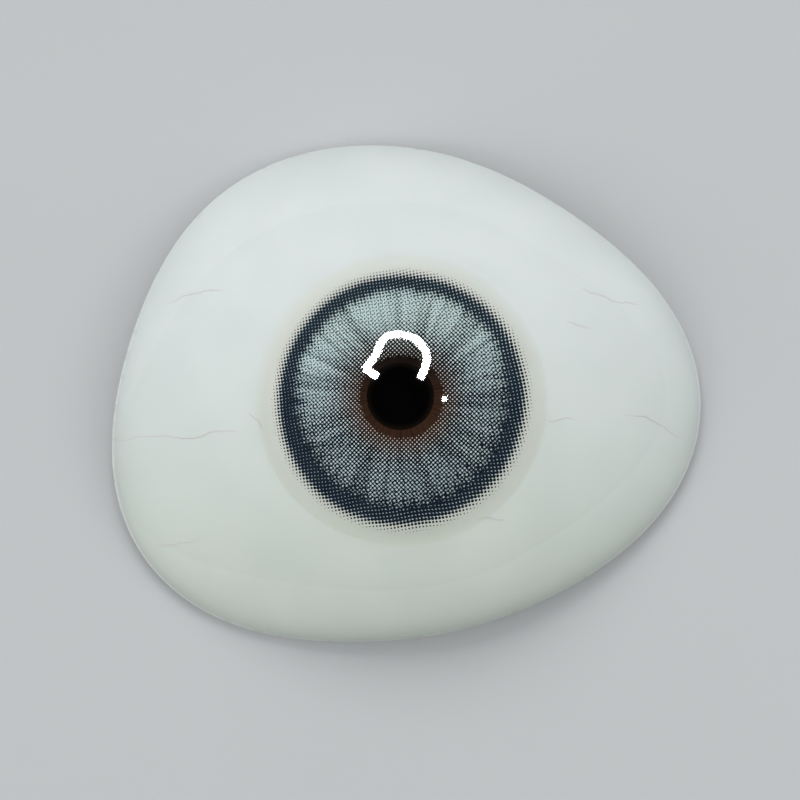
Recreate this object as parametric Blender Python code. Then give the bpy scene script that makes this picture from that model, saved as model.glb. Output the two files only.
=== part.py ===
"""A stock acrylic artificial eye that wears a printed soft contact lens.

The eye is a hollow white shell. A painted iris disc lies in a seat in its front, over a black
pupil disc. A clear layer covers the whole front and swells to a cornea over the iris, and fine
red threads lie under it as veins. The contact lens is a thin skin draped over the cornea.

The shell rests on three low points of its rim. +Z points out of the eye, +X runs along its
longest way, and the origin is on the surface that it rests on, under the middle of its outline.
Inside this file all shapes are worked out about the eye's axis, which passes through the pupil,
and the whole eye is then moved so that the middle of its outline comes to the origin.
"""

import math

import bmesh
import bpy
import numpy as np

MM = 0.001

# The outline seen from the front: a mean radius about the pupil, and lobes that pull it in
# and out, each with its number of waves around, its height and the direction of a crest
OUTLINE_RADIUS = 13.49 * MM
OUTLINE_LOBES = (
    (1, 0.34 * MM, -148),
    (2, 1.16 * MM, 5),
    (3, 0.70 * MM, -12),
    (4, 0.11 * MM, 21),
    (5, 0.16 * MM, -4),
)

# The polished front: a cornea that stands out of a wider white sphere, with a soft limbus
EYE_HEIGHT = 10.4 * MM
SCLERA_RADIUS = 14.5 * MM
CORNEA_RADIUS = 8.0 * MM
CORNEA_RISE = 1.2 * MM
LIMBUS_BLEND = 0.5 * MM

# The rim: a full round edge that waves up between the points it rests on
RIM_THICKNESS = 1.0 * MM
RIM_WAVE = 1.2 * MM
RIM_FEET = 3
RIM_FOOT_DIRECTION = -12

# The layers, from the front inwards
OVERLAY_THICKNESS = 0.5 * MM
OVERLAY_EDGE = 0.3 * MM
VEIN_LAYER = 0.3 * MM
SEAT_GAP = 0.1 * MM
VEIN_DIAMETER = 0.08 * MM

# The iris button
IRIS_DIAMETER = 11.4 * MM
IRIS_THICKNESS = 0.4 * MM
IRIS_EDGE_ROUND = 0.06 * MM
PUPIL_DIAMETER = 3.3 * MM
PUPIL_OVERLAP = 0.5 * MM
PUPIL_THICKNESS = 0.3 * MM
WALL_BEHIND_PUPIL = 1.0 * MM
BACK_ROUNDNESS = 0.42

# The contact lens, which sits a little low on the cornea on a film of tears
LENS_DIAMETER = 14.2 * MM
LENS_THICKNESS = 0.12 * MM
LENS_EDGE = 0.06 * MM
LENS_TAPER = 1.2 * MM
LENS_SHIFT = (0.05 * MM, -0.22 * MM)
TEAR_FILM = 0.05 * MM
TURNED_MARGIN = 0.3 * MM

# Veins, as points seen from the front, in mm right of and above the pupil
VEINS = (
    ((-14.1, -2.3), (-13.0, -2.0), (-11.3, -2.0), (-10.4, -2.1), (-9.0, -1.7), (-7.9, -1.8)),
    ((-11.6, 4.6), (-10.7, 5.0), (-9.8, 5.2), (-8.7, 5.3)),
    ((-7.6, -0.8), (-7.1, -1.1), (-6.8, -1.7)),
    ((9.0, 5.3), (9.7, 5.1), (10.8, 4.7), (11.9, 4.6)),
    ((8.2, 3.7), (8.8, 3.5), (9.5, 3.4)),
    ((10.9, -0.9), (12.0, -1.0), (12.8, -1.3), (13.5, -1.8), (14.1, -2.1)),
    ((7.0, -1.1), (7.6, -1.2), (8.1, -1.1), (8.6, -1.1)),
    ((3.8, -6.1), (4.2, -6.0), (5.1, -6.1)),
    ((-12.2, -7.5), (-11.0, -7.3), (-9.9, -7.1)),
)

# How finely the faces follow the curves
SEGMENTS = 60
FRONT_RINGS = 10
WALL_RINGS = 8
SEAT_RINGS = 2
BACK_RINGS = 8
DISC_SEGMENTS = 48
VEIN_STEPS = 4
SHARP_ANGLE = 35
HALVINGS = 40

# The turned part of the front carries the lens and the iris seat; beyond it the wall is swept
# to the rim
LENS_REACH = LENS_DIAMETER / 2 + math.hypot(*LENS_SHIFT)
SEAT_REACH = IRIS_DIAMETER / 2 + SEAT_GAP + OVERLAY_THICKNESS + VEIN_LAYER
TURNED_RADIUS = max(LENS_REACH, SEAT_REACH) + TURNED_MARGIN
DIRECTIONS = np.radians(np.arange(SEGMENTS) * 360 / SEGMENTS)


def outline_radius(direction):
    """The outline's radius about the pupil: the mean radius plus one cosine for each lobe."""
    waves = [
        height * np.cos(count * (direction - math.radians(crest)))
        for count, height, crest in OUTLINE_LOBES
    ]
    return OUTLINE_RADIUS + sum(waves)


def rim_centre(direction):
    """The middle of the rounded rim: its radius, and its height over the rest plane."""
    foot = math.radians(RIM_FOOT_DIRECTION)
    lift = RIM_WAVE * (1 - np.cos(RIM_FEET * (direction - foot))) / 2
    return outline_radius(direction) - RIM_THICKNESS / 2, RIM_THICKNESS / 2 + lift


def sphere_height(top, radius, r):
    """The height of a sphere with this top, at a distance r from its axis."""
    return top - radius + np.sqrt(np.maximum(radius**2 - r**2, 0))


def turned_height(r):
    """The turned front: the higher of cornea and white sphere, eased where they cross."""
    cornea = sphere_height(EYE_HEIGHT, CORNEA_RADIUS, r)
    sclera = sphere_height(EYE_HEIGHT - CORNEA_RISE, SCLERA_RADIUS, r)
    share = np.clip(0.5 + 0.5 * (cornea - sclera) / LIMBUS_BLEND, 0, 1)
    return sclera + share * (cornea - sclera) + LIMBUS_BLEND * share * (1 - share)


def turned_tilt(r):
    """How far the turned front leans from level at a distance r from the axis, in radians."""
    step = 0.001 * MM
    return np.arctan((turned_height(r - step) - turned_height(r + step)) / (2 * step))


def rim_tilt(direction):
    """The wall's lean where it meets the rim, if it bends evenly all the way from the front."""
    start = turned_tilt(TURNED_RADIUS)
    half = RIM_THICKNESS / 2
    rim_r, rim_z = rim_centre(direction)
    across = rim_r - (TURNED_RADIUS - half * math.sin(start))
    down = turned_height(TURNED_RADIUS) - half * math.cos(start) - rim_z
    return 2 * np.arctan2(down, across) - start


def bezier(points, t):
    """A cubic curve through the first and last of four (r, z) points, and its direction."""
    a, b, c, d = points
    s = 1 - t
    place = []
    run = []
    for k in (0, 1):
        place.append(s**3 * a[k] + 3 * s**2 * t * b[k] + 3 * s * t**2 * c[k] + t**3 * d[k])
        run.append(s**2 * (b[k] - a[k]) + 2 * s * t * (c[k] - b[k]) + t**2 * (d[k] - c[k]))
    return place, run


def skin(direction, station):
    """The polished front as radius, height and lean.

    The station is 0 on the axis, 1 at the end of the turned front and 2 where the clear
    layer ends at the rim. Between 1 and 2 the wall bends evenly, as an arc.
    """
    if station <= 1:
        r = np.full_like(direction, station * TURNED_RADIUS)
        return r, turned_height(r), turned_tilt(r)
    start_lean = turned_tilt(TURNED_RADIUS)
    end_lean = rim_tilt(direction)
    rim_r, rim_z = rim_centre(direction)
    half = RIM_THICKNESS / 2
    start = (TURNED_RADIUS, turned_height(TURNED_RADIUS))
    end = (
        rim_r + half * np.sin(end_lean) - SEAT_GAP * np.cos(end_lean),
        rim_z + half * np.cos(end_lean) + SEAT_GAP * np.sin(end_lean),
    )
    chord = np.hypot(end[0] - start[0], end[1] - start[1])
    reach = chord / (3 * np.cos((end_lean - start_lean) / 4) ** 2)
    leave = (start[0] + reach * math.cos(start_lean), start[1] - reach * math.sin(start_lean))
    arrive = (end[0] - reach * np.cos(end_lean), end[1] + reach * np.sin(end_lean))
    (r, z), (run_r, run_z) = bezier((start, leave, arrive, end), station - 1)
    return r, z, np.arctan2(-run_z, run_r)


def inset(direction, station, depth):
    """A point at this depth straight in from the polished front, as radius and height."""
    r, z, lean = skin(direction, station)
    return r - depth * np.sin(lean), z - depth * np.cos(lean)


def overlay_depth(station):
    """The clear layer's thickness, which thins from the turned front to the rim."""
    share = max(station - 1, 0)
    return OVERLAY_THICKNESS + share * (OVERLAY_EDGE - OVERLAY_THICKNESS)


def body_depth(station):
    """The white body's depth under the front: the clear layer and the room for the veins."""
    share = max(station - 1, 0)
    return overlay_depth(station) + VEIN_LAYER + share * (SEAT_GAP - VEIN_LAYER)


def station_at(direction, radius, depth_rule):
    """The station where the layer under the front with this depth rule is at this radius."""
    low, high = 0.0, 2.0
    for _ in range(HALVINGS):
        middle = (low + high) / 2
        if inset(direction, middle, depth_rule(middle))[0] < radius:
            low = middle
        else:
            high = middle
    return (low + high) / 2


# The iris button's levels follow from where the clear layer's underside meets its seat
SEAT_RADIUS = IRIS_DIAMETER / 2 + SEAT_GAP
OVERLAY_SEAT_STATION = station_at(0.0, SEAT_RADIUS, overlay_depth)
BODY_SEAT_STATION = station_at(0.0, SEAT_RADIUS, body_depth)
OVERLAY_UNDERSIDE = float(inset(0.0, OVERLAY_SEAT_STATION, OVERLAY_THICKNESS)[1])
IRIS_TOP = OVERLAY_UNDERSIDE - SEAT_GAP
IRIS_BOTTOM = IRIS_TOP - IRIS_THICKNESS
PUPIL_TOP = IRIS_BOTTOM - SEAT_GAP
PUPIL_BOTTOM = PUPIL_TOP - PUPIL_THICKNESS
PUPIL_DISC_RADIUS = PUPIL_DIAMETER / 2 + PUPIL_OVERLAP
PUPIL_SEAT_RADIUS = PUPIL_DISC_RADIUS + SEAT_GAP
PUPIL_SEAT_FLOOR = PUPIL_BOTTOM - SEAT_GAP
BACK_HEIGHT = PUPIL_SEAT_FLOOR - WALL_BEHIND_PUPIL


def ring(r, z):
    """One closed ring of points around the eye's axis, from a radius and a height for each."""
    x = r * np.cos(DIRECTIONS)
    y = r * np.sin(DIRECTIONS)
    return np.stack([x, y, np.broadcast_to(z, x.shape)], axis=1)


def stations(first, last, steps):
    """Evenly spaced stations from just after the first one to the last one."""
    return [first + (last - first) * (k + 1) / steps for k in range(steps)]


def plastic(name, color, roughness, alpha=1.0):
    """A Principled material with this colour and roughness."""
    material = bpy.data.materials.new(name)
    material.use_nodes = True
    shader = material.node_tree.nodes["Principled BSDF"]
    shader.inputs["Base Color"].default_value = (*color, 1.0)
    shader.inputs["Roughness"].default_value = roughness
    shader.inputs["Metallic"].default_value = 0.0
    shader.inputs["Alpha"].default_value = alpha
    return material


def add_object(name, data, material, parent):
    """Puts a mesh or curve into the scene under its parent, with its material."""
    data.materials.append(material)
    new = bpy.data.objects.new(name, data)
    bpy.context.scene.collection.objects.link(new)
    new.parent = parent
    return new


def lofted(name, rings, top, bottom, material, parent):
    """A closed body from rings joined in turn, with a point at its top and one at its bottom."""
    bm = bmesh.new()
    loops = [[bm.verts.new(point) for point in points] for points in rings]
    for inner, outer in zip(loops, loops[1:]):
        for k in range(len(inner)):
            after = (k + 1) % len(inner)
            bm.faces.new((inner[k], outer[k], outer[after], inner[after]))
    for loop, level, turn in ((loops[0], top, 1), (loops[-1], bottom, -1)):
        pole = bm.verts.new(level)
        for k in range(len(loop)):
            corners = (pole, loop[k], loop[(k + 1) % len(loop)])
            bm.faces.new(corners[::turn])
    bmesh.ops.recalc_face_normals(bm, faces=bm.faces)
    return finished(name, bm, material, parent)


def turned(name, profile, material, parent):
    """A body turned about the eye's axis from a closed profile of (radius, height) points."""
    bm = bmesh.new()
    points = [bm.verts.new((r, 0, z)) for r, z in profile]
    edges = [bm.edges.new(pair) for pair in zip(points, points[1:] + points[:1])]
    bmesh.ops.spin(
        bm,
        geom=points + edges,
        cent=(0, 0, 0),
        axis=(0, 0, 1),
        angle=2 * math.pi,
        steps=DISC_SEGMENTS,
    )
    bmesh.ops.remove_doubles(bm, verts=bm.verts, dist=0.001 * MM)
    bmesh.ops.recalc_face_normals(bm, faces=bm.faces)
    return finished(name, bm, material, parent)


def finished(name, bm, material, parent):
    """Turns the finished bmesh into a smooth-shaded object with its sharp edges marked."""
    mesh = bpy.data.meshes.new(name)
    bm.to_mesh(mesh)
    bm.free()
    mesh.shade_smooth()
    mesh.set_sharp_from_angle(angle=math.radians(SHARP_ANGLE))
    return add_object(name, mesh, material, parent)


def add_body(parent):
    """The white shell: stepped seats, the ground for the veins, the round rim, the hollow back."""
    rings = [
        ring(PUPIL_SEAT_RADIUS, PUPIL_SEAT_FLOOR),
        ring(PUPIL_SEAT_RADIUS, IRIS_BOTTOM - SEAT_GAP),
        ring(SEAT_RADIUS, IRIS_BOTTOM - SEAT_GAP),
    ]
    front = [BODY_SEAT_STATION, *stations(BODY_SEAT_STATION, 1, SEAT_RINGS), *stations(1, 2, WALL_RINGS)]
    rings += [ring(*inset(DIRECTIONS, s, body_depth(s))) for s in front]
    rings += rim_rings()
    rings += back_rings()
    top = (0, 0, PUPIL_SEAT_FLOOR)
    bottom = (0, 0, BACK_HEIGHT)
    white = plastic("white_acrylic", (0.80, 0.84, 0.82), 0.12)
    return lofted("scleral_body", rings, top, bottom, white, parent)


def rim_rings():
    """The step that stops the clear layer, then the full round of the rim."""
    rim_r, rim_z = rim_centre(DIRECTIONS)
    lean = rim_tilt(DIRECTIONS)
    half = RIM_THICKNESS / 2
    step = half - body_depth(2)
    first = math.pi / 2 - lean
    outward = np.zeros_like(lean)
    down = outward - math.pi / 2
    last = first - math.pi
    turns = [first, (first + outward) / 2, outward, (outward + down) / 2, down, (down + last) / 2, last]
    rings = [ring(rim_r + step * np.sin(lean), rim_z + step * np.cos(lean))]
    rings += [ring(rim_r + half * np.cos(turn), rim_z + half * np.sin(turn)) for turn in turns]
    return rings


def back_rings():
    """The hollow back: in each direction one curve from the rim, level at the axis."""
    rim_r, rim_z = rim_centre(DIRECTIONS)
    lean = rim_tilt(DIRECTIONS)
    half = RIM_THICKNESS / 2
    start = (rim_r - half * np.sin(lean), rim_z - half * np.cos(lean))
    reach = BACK_ROUNDNESS * np.hypot(start[0], BACK_HEIGHT - start[1])
    leave = (start[0] - reach * np.cos(lean), start[1] + reach * np.sin(lean))
    end = (0, BACK_HEIGHT)
    arrive = (reach, BACK_HEIGHT)
    curve = (start, leave, arrive, end)
    return [ring(*bezier(curve, (k + 1) / (BACK_RINGS + 1))[0]) for k in range(BACK_RINGS)]


def add_overlay(parent):
    """The clear layer: the polished front outside, and a flat window over the iris inside."""
    wall = stations(1, 2, WALL_RINGS)
    outside = stations(0, 1, FRONT_RINGS) + wall
    inside = [OVERLAY_SEAT_STATION, *stations(OVERLAY_SEAT_STATION, 1, SEAT_RINGS), *wall]
    rings = [ring(*inset(DIRECTIONS, s, 0)) for s in outside]
    rings += [ring(*inset(DIRECTIONS, s, overlay_depth(s))) for s in reversed(inside)]
    top = (0, 0, EYE_HEIGHT)
    bottom = (0, 0, OVERLAY_UNDERSIDE)
    clear = plastic("clear_acrylic", (0.93, 0.96, 0.95), 0.05, alpha=0.2)
    return lofted("clear_overlay", rings, top, bottom, clear, parent)


def add_iris(parent):
    """The painted iris: a flat ring with softened edges, whose hole is the pupil."""
    inner = PUPIL_DIAMETER / 2
    outer = IRIS_DIAMETER / 2
    soft = IRIS_EDGE_ROUND
    profile = [
        (inner, IRIS_BOTTOM),
        (inner, IRIS_TOP - soft),
        (inner + soft, IRIS_TOP),
        (outer - soft, IRIS_TOP),
        (outer, IRIS_TOP - soft),
        (outer, IRIS_BOTTOM),
    ]
    brown = plastic("iris_brown", (0.045, 0.022, 0.014), 0.45)
    return turned("iris_disc", profile, brown, parent)


def add_pupil(parent):
    """The black disc behind the hole in the iris."""
    levels = ((PUPIL_DISC_RADIUS, PUPIL_TOP), (PUPIL_DISC_RADIUS, PUPIL_BOTTOM))
    profile = [(0, PUPIL_TOP), *levels, (0, PUPIL_BOTTOM)]
    black = plastic("pupil_black", (0.004, 0.004, 0.005), 0.3)
    return turned("pupil_disc", profile, black, parent)


def lens_thickness(distance):
    """The lens's thickness at a distance from its own axis: even, then thinner to its edge."""
    share = max(0, 1 - (LENS_DIAMETER / 2 - distance) / LENS_TAPER)
    return LENS_THICKNESS + share * (LENS_EDGE - LENS_THICKNESS)


def over_cornea(distance, height):
    """A ring about the lens's own axis, draped at this height above the polished front."""
    x = LENS_SHIFT[0] + distance * np.cos(DIRECTIONS)
    y = LENS_SHIFT[1] + distance * np.sin(DIRECTIONS)
    r = np.hypot(x, y)
    lean = turned_tilt(r)
    spread = 1 + height * np.sin(lean) / np.maximum(r, MM)
    return np.stack([x * spread, y * spread, turned_height(r) + height * np.cos(lean)], axis=1)


def add_lens(parent):
    """The contact lens: two draped skins that meet in a rounded edge."""
    edge = LENS_DIAMETER / 2
    distances = [edge * (k + 1) / FRONT_RINGS for k in range(FRONT_RINGS)]
    distances[-1] -= LENS_EDGE / 2
    front = [over_cornea(d, TEAR_FILM + lens_thickness(d)) for d in distances]
    lip = [over_cornea(edge, TEAR_FILM + LENS_EDGE / 2)]
    back = [over_cornea(d, TEAR_FILM) for d in reversed(distances)]
    middle = np.hypot(*LENS_SHIFT)
    top = (*LENS_SHIFT, float(turned_height(middle)) + TEAR_FILM + LENS_THICKNESS)
    bottom = (*LENS_SHIFT, float(turned_height(middle)) + TEAR_FILM)
    soft = plastic("lens_hydrogel", (0.90, 0.95, 0.97), 0.08, alpha=0.25)
    return lofted("contact_lens", front + lip + back, top, bottom, soft, parent)


def smooth_route(route):
    """Points on one smooth curve through a vein's own points, a few for each stretch."""
    ends = np.array(route) * MM
    ends = np.vstack([2 * ends[0] - ends[1], ends, 2 * ends[-1] - ends[-2]])
    points = []
    for k in range(1, len(ends) - 2):
        before, here, there, beyond = ends[k - 1 : k + 3]
        for step in range(VEIN_STEPS):
            t = step / VEIN_STEPS
            bend = 2 * before - 5 * here + 4 * there - beyond
            swing = 3 * here - before - 3 * there + beyond
            points.append(here + ((there - before) * t + bend * t**2 + swing * t**3) / 2)
    return points + [ends[-2]]


def vein_depth(station):
    """Half way between the white body and the clear layer."""
    return (overlay_depth(station) + body_depth(station)) / 2


def add_vein(name, route, red, parent):
    """A fine thread that follows the ground under the clear layer."""
    places = []
    for x, y in smooth_route(route):
        direction = math.atan2(y, x)
        station = station_at(direction, math.hypot(x, y), vein_depth)
        height = float(inset(direction, station, vein_depth(station))[1])
        places.append((x, y, height))
    curve = bpy.data.curves.new(name, "CURVE")
    curve.dimensions = "3D"
    curve.bevel_depth = VEIN_DIAMETER / 2
    curve.bevel_resolution = 2
    curve.use_fill_caps = True
    spline = curve.splines.new("POLY")
    spline.points.add(len(places) - 1)
    for point, place in zip(spline.points, places):
        point.co = (*place, 1)
    return add_object(name, curve, red, parent)


def main():
    for old in list(bpy.data.objects):
        bpy.data.objects.remove(old, do_unlink=True)
    eye = bpy.data.objects.new("artificial_eye", None)
    bpy.context.scene.collection.objects.link(eye)
    rim = ring(outline_radius(DIRECTIONS), 0)
    middle = (rim.max(axis=0) + rim.min(axis=0)) / 2
    eye.location = (-middle[0], -middle[1], 0)
    add_body(eye)
    add_pupil(eye)
    add_iris(eye)
    red = plastic("vein_red", (0.42, 0.13, 0.11), 0.6)
    for number, route in enumerate(VEINS, start=1):
        add_vein(f"vein_thread_{number}", route, red, eye)
    add_overlay(eye)
    add_lens(eye)


main()
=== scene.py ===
# %% [markdown]
# # An artificial eye that wears a printed contact lens
#
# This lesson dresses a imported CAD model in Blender. The object is a stock artificial eye: a hollow
# shell of white acrylic with a brown iris, fine veins and a clear front, and a soft contact lens
# with a printed grey-blue iris lies over its cornea. Each CAD solid is replaced by a smooth surface
# that numpy works out from the same curves, and each surface gets a material made of nodes.

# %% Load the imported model
import math

import bpy
import numpy as np
from mathutils import Matrix, Vector


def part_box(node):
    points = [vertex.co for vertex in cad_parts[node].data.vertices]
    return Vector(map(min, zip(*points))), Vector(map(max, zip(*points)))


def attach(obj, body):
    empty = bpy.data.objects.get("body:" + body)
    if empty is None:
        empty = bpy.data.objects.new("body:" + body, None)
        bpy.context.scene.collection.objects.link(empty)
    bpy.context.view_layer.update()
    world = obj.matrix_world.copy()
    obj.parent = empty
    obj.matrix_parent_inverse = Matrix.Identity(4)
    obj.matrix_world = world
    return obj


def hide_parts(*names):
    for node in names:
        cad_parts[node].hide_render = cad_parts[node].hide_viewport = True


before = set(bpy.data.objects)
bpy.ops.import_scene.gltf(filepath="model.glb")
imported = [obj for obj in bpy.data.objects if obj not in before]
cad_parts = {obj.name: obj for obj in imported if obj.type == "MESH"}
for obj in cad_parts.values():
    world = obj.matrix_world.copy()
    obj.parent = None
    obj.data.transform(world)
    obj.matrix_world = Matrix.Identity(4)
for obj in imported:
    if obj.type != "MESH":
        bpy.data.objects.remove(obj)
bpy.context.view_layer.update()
MM = 0.001


def in_mm(lengths, digits=2):
    """Lengths in metres as a list in mm, for the printed lines."""
    return [round(float(length) / MM, digits) for length in lengths]


# %% [markdown]
# ## Where the eye's axis is
#
# The row's origin lies under the middle of the outline, but cornea, iris and pupil share an axis a
# little beside it, and every curve below is worked out about that axis. So the place of the pupil's
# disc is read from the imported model, with the levels of iris and pupil.

# %% The axis and the levels
pupil_low, pupil_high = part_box("pupil_disc")
iris_low, iris_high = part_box("iris_disc")
AXIS = np.array([(pupil_low.x + pupil_high.x) / 2, (pupil_low.y + pupil_high.y) / 2, 0.0])
IRIS_TOP = iris_high.z
IRIS_BOTTOM = iris_low.z
PUPIL_TOP = pupil_high.z
PUPIL_BOTTOM = pupil_low.z
EYE_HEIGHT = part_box("clear_overlay")[1].z
print("axis in mm:", in_mm(AXIS, 3), "iris top and eye height:", in_mm((IRIS_TOP, EYE_HEIGHT), 3))

# %% [markdown]
# ## The curves of the eye
#
# The maker turns the front on a lathe and grinds the outline by hand. So the front is a sphere for
# the cornea, blended into a wider sphere for the white, and the outline is a mean radius with a few
# lobes. The rim is a round bead that waves up between the three points it rests on.

# %% Sizes of the shell
OUTLINE_RADIUS = 13.49 * MM
OUTLINE_LOBES = ((1, 0.34, -148), (2, 1.16, 5), (3, 0.70, -12), (4, 0.11, 21), (5, 0.16, -4))
SCLERA_RADIUS = 14.5 * MM
CORNEA_RADIUS = 8.0 * MM
CORNEA_RISE = 1.2 * MM
LIMBUS_BLEND = 0.5 * MM
BEAD_RADIUS = 0.5 * MM
RIM_WAVE = 1.2 * MM
RIM_FEET = 3
RIM_FOOT_DIRECTION = -12
TURNED_RADIUS = 7.626 * MM
RIM_STOP = 0.1 * MM
SEGMENTS = 360
DIRECTIONS = np.radians(np.arange(SEGMENTS) * 360 / SEGMENTS)[None, :]


def outline_radius(direction):
    """The mean radius plus, for each lobe, its height in mm times the cosine of count times turn."""
    counts, heights, crests = (np.array(column).reshape(-1, 1, 1) for column in zip(*OUTLINE_LOBES))
    lobes = heights * MM * np.cos(counts * (direction - np.radians(crests)))
    return OUTLINE_RADIUS + lobes.sum(axis=0)


def rim_centre(direction):
    """The bead's middle: its radius inside the outline, lifted by a raised cosine with three feet."""
    lift = RIM_WAVE * (1 - np.cos(RIM_FEET * (direction - math.radians(RIM_FOOT_DIRECTION)))) / 2
    return outline_radius(direction) - BEAD_RADIUS, BEAD_RADIUS + lift


outline = outline_radius(DIRECTIONS)
print("outline radius in mm:", in_mm((outline.min(), outline.max())))

# %% The turned front


def sphere_height(top, radius, r):
    """Top minus radius plus the root of radius squared minus r squared."""
    return top - radius + np.sqrt(np.maximum(radius**2 - r**2, 0))


def turned_height(r):
    """The higher of cornea and white sphere, with a parabola that eases the step where they cross."""
    cornea = sphere_height(EYE_HEIGHT, CORNEA_RADIUS, r)
    sclera = sphere_height(EYE_HEIGHT - CORNEA_RISE, SCLERA_RADIUS, r)
    share = np.clip(0.5 + 0.5 * (cornea - sclera) / LIMBUS_BLEND, 0, 1)
    return sclera + share * (cornea - sclera) + LIMBUS_BLEND * share * (1 - share)


def turned_lean(r):
    """The arc tangent of the fall of the turned front over two microns."""
    step = 0.001 * MM
    return np.arctan((turned_height(r - step) - turned_height(r + step)) / (2 * step))


END_HEIGHT = turned_height(TURNED_RADIUS)
END_LEAN = turned_lean(TURNED_RADIUS)
print("end of the turned front in mm:", in_mm((TURNED_RADIUS, END_HEIGHT), 3))

# %% [markdown]
# Beyond the turned front the wall has to reach a rim that isn't round. In each direction a cubic
# curve runs from the end of the turned front to the bead. It leaves with the front's lean and
# arrives with the lean of an even bend, so that the gloss runs over it without a kink.

# %% The swept wall


def rim_lean(direction):
    """Twice the slope of the line from the turned front to the bead, less the lean it starts with."""
    rim_r, rim_z = rim_centre(direction)
    across = rim_r - (TURNED_RADIUS - BEAD_RADIUS * math.sin(END_LEAN))
    down = END_HEIGHT - BEAD_RADIUS * math.cos(END_LEAN) - rim_z
    return 2 * np.arctan2(down, across) - END_LEAN


def cubic(points, t):
    """A cubic curve with Bernstein weights on four (r, z) points, and its direction, for all t at once."""
    s = 1 - t
    point = [s**3 * a + 3 * s**2 * t * b + 3 * s * t**2 * c + t**3 * d for a, b, c, d in zip(*points)]
    run = [s**2 * (b - a) + 2 * s * t * (c - b) + t**2 * (d - c) for a, b, c, d in zip(*points)]
    return point, run


def front_skin(direction, station):
    """The polished front as radius, height and lean; the station is 0 on the axis and 2 at the bead.

    Up to 1 it is the turned front, and beyond it the cubic curve, whose handles are the chord over
    three squared cosines of a quarter of the turn from lean to lean.
    """
    direction, station = np.broadcast_arrays(direction, station)
    end_lean = rim_lean(direction)
    rim_r, rim_z = rim_centre(direction)
    start = (TURNED_RADIUS, END_HEIGHT)
    end = (
        rim_r + BEAD_RADIUS * np.sin(end_lean) - RIM_STOP * np.cos(end_lean),
        rim_z + BEAD_RADIUS * np.cos(end_lean) + RIM_STOP * np.sin(end_lean),
    )
    chord = np.hypot(end[0] - start[0], end[1] - start[1])
    reach = chord / (3 * np.cos((end_lean - END_LEAN) / 4) ** 2)
    leave = (start[0] + reach * np.cos(END_LEAN), start[1] - reach * np.sin(END_LEAN))
    arrive = (end[0] - reach * np.cos(end_lean), end[1] + reach * np.sin(end_lean))
    (wall_r, wall_z), (run_r, run_z) = cubic((start, leave, arrive, end), np.maximum(station - 1, 0))
    turned_r = np.minimum(station, 1) * TURNED_RADIUS
    inner = station <= 1
    r = np.where(inner, turned_r, wall_r)
    z = np.where(inner, turned_height(turned_r), wall_z)
    return r, z, np.where(inner, turned_lean(turned_r), np.arctan2(-run_z, run_r))


def under_front(direction, station, depth):
    """A point under the front: radius less depth times the lean's sine, height less depth times cosine."""
    r, z, lean = front_skin(direction, station)
    return r - depth * np.sin(lean), z - depth * np.cos(lean)


leans = np.degrees(rim_lean(DIRECTIONS))
print("the rim leans", leans.min().round(1), "to", leans.max().round(1), "degrees")

# %% [markdown]
# ## From rings of points to a closed mesh
#
# A body that is turned or swept about an axis is a stack of rings. Joining each ring to the next
# gives four-sided faces, and a point closes the stack at each end. Whole arrays go into the mesh at
# once with foreach_set, which is far quicker than point by point.

# %% A mesh from arrays


def add_object(name, data):
    """A new object in the scene."""
    made = bpy.data.objects.new(name, data)
    bpy.context.scene.collection.objects.link(made)
    return made


def add_mesh(name, points, faces, sharp=None):
    """A smooth mesh from an array of points and an array of corner numbers for each kind of face."""
    mesh = bpy.data.meshes.new(name)
    corners = np.concatenate([kind.ravel() for kind in faces]).astype(np.int32)
    sizes = np.concatenate([np.full(len(kind), kind.shape[1]) for kind in faces])
    starts = (np.cumsum(sizes) - sizes).astype(np.int32)
    mesh.vertices.add(len(points))
    mesh.vertices.foreach_set("co", points.astype(np.float32).ravel())
    mesh.loops.add(len(corners))
    mesh.loops.foreach_set("vertex_index", corners)
    mesh.polygons.add(len(sizes))
    mesh.polygons.foreach_set("loop_start", starts)
    mesh.update(calc_edges=True)
    mesh.shade_smooth()
    if sharp is not None:
        mesh.set_sharp_from_angle(angle=math.radians(sharp))
    print(name, len(points), "points,", len(sizes), "faces")
    return add_object(name, mesh)


def joined(low, high):
    """Four-sided faces between rings of point numbers and the rings that come after them."""
    sides = (low, high, np.roll(high, -1, axis=1), np.roll(low, -1, axis=1))
    return np.stack(sides, axis=-1).reshape(-1, 4)


def fan(point, ring):
    """Triangles from one point to each side of a ring of point numbers."""
    return np.stack([np.full(len(ring), point), ring, np.roll(ring, -1)], axis=-1)


# %% Rings and bodies


def steps(first, last, count):
    """A column of even steps that starts after the first value and ends at the last one."""
    return (first + (last - first) * np.arange(1, count + 1) / count)[:, None]


def ring_stack(r, z):
    """Rings about the eye's axis: x is r times the cosine of the direction, y is r times its sine."""
    r, z, direction = np.broadcast_arrays(r, z, DIRECTIONS)
    return np.stack([r * np.cos(direction), r * np.sin(direction), z], axis=-1)


def turned(section):
    """One ring for each (r, z) point of a section."""
    section = np.vstack(section)
    return ring_stack(section[:, :1], section[:, 1:])


def closed_body(name, rings, top, bottom, sharp=40):
    """Joins rings in turn and closes both ends with a point; a ring further out comes later on top."""
    number = np.arange(rings.shape[0] * SEGMENTS).reshape(-1, SEGMENTS)
    ends = np.concatenate([fan(number.size, number[0]), fan(number.size + 1, number[-1, ::-1])])
    points = np.vstack([rings.reshape(-1, 3), top, bottom]) + AXIS
    return add_mesh(name, points, (joined(number[:-1], number[1:]), ends), sharp)


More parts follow.
